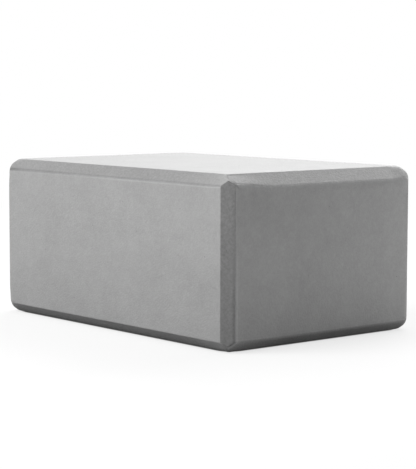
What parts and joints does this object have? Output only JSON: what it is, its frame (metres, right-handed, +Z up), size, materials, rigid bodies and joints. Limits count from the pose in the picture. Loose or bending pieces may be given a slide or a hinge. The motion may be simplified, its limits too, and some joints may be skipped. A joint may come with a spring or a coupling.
{
  "type": "yoga block",
  "caption": "Rectangular closed-cell foam yoga block with a flat bevel along every edge, to support a hand, foot or back in a pose.",
  "frame": {"origin": "centre of the large face that the block rests on, at the height of the floor", "axes": "+X along the length, +Y across the width, +Z up through the height"},
  "size_m": [0.2286, 0.1524, 0.1016],
  "materials": {
    "foam": "matte"
  },
  "bodies": {
    "root": {"foam_block": "foam"}
  },
  "joints": []
}
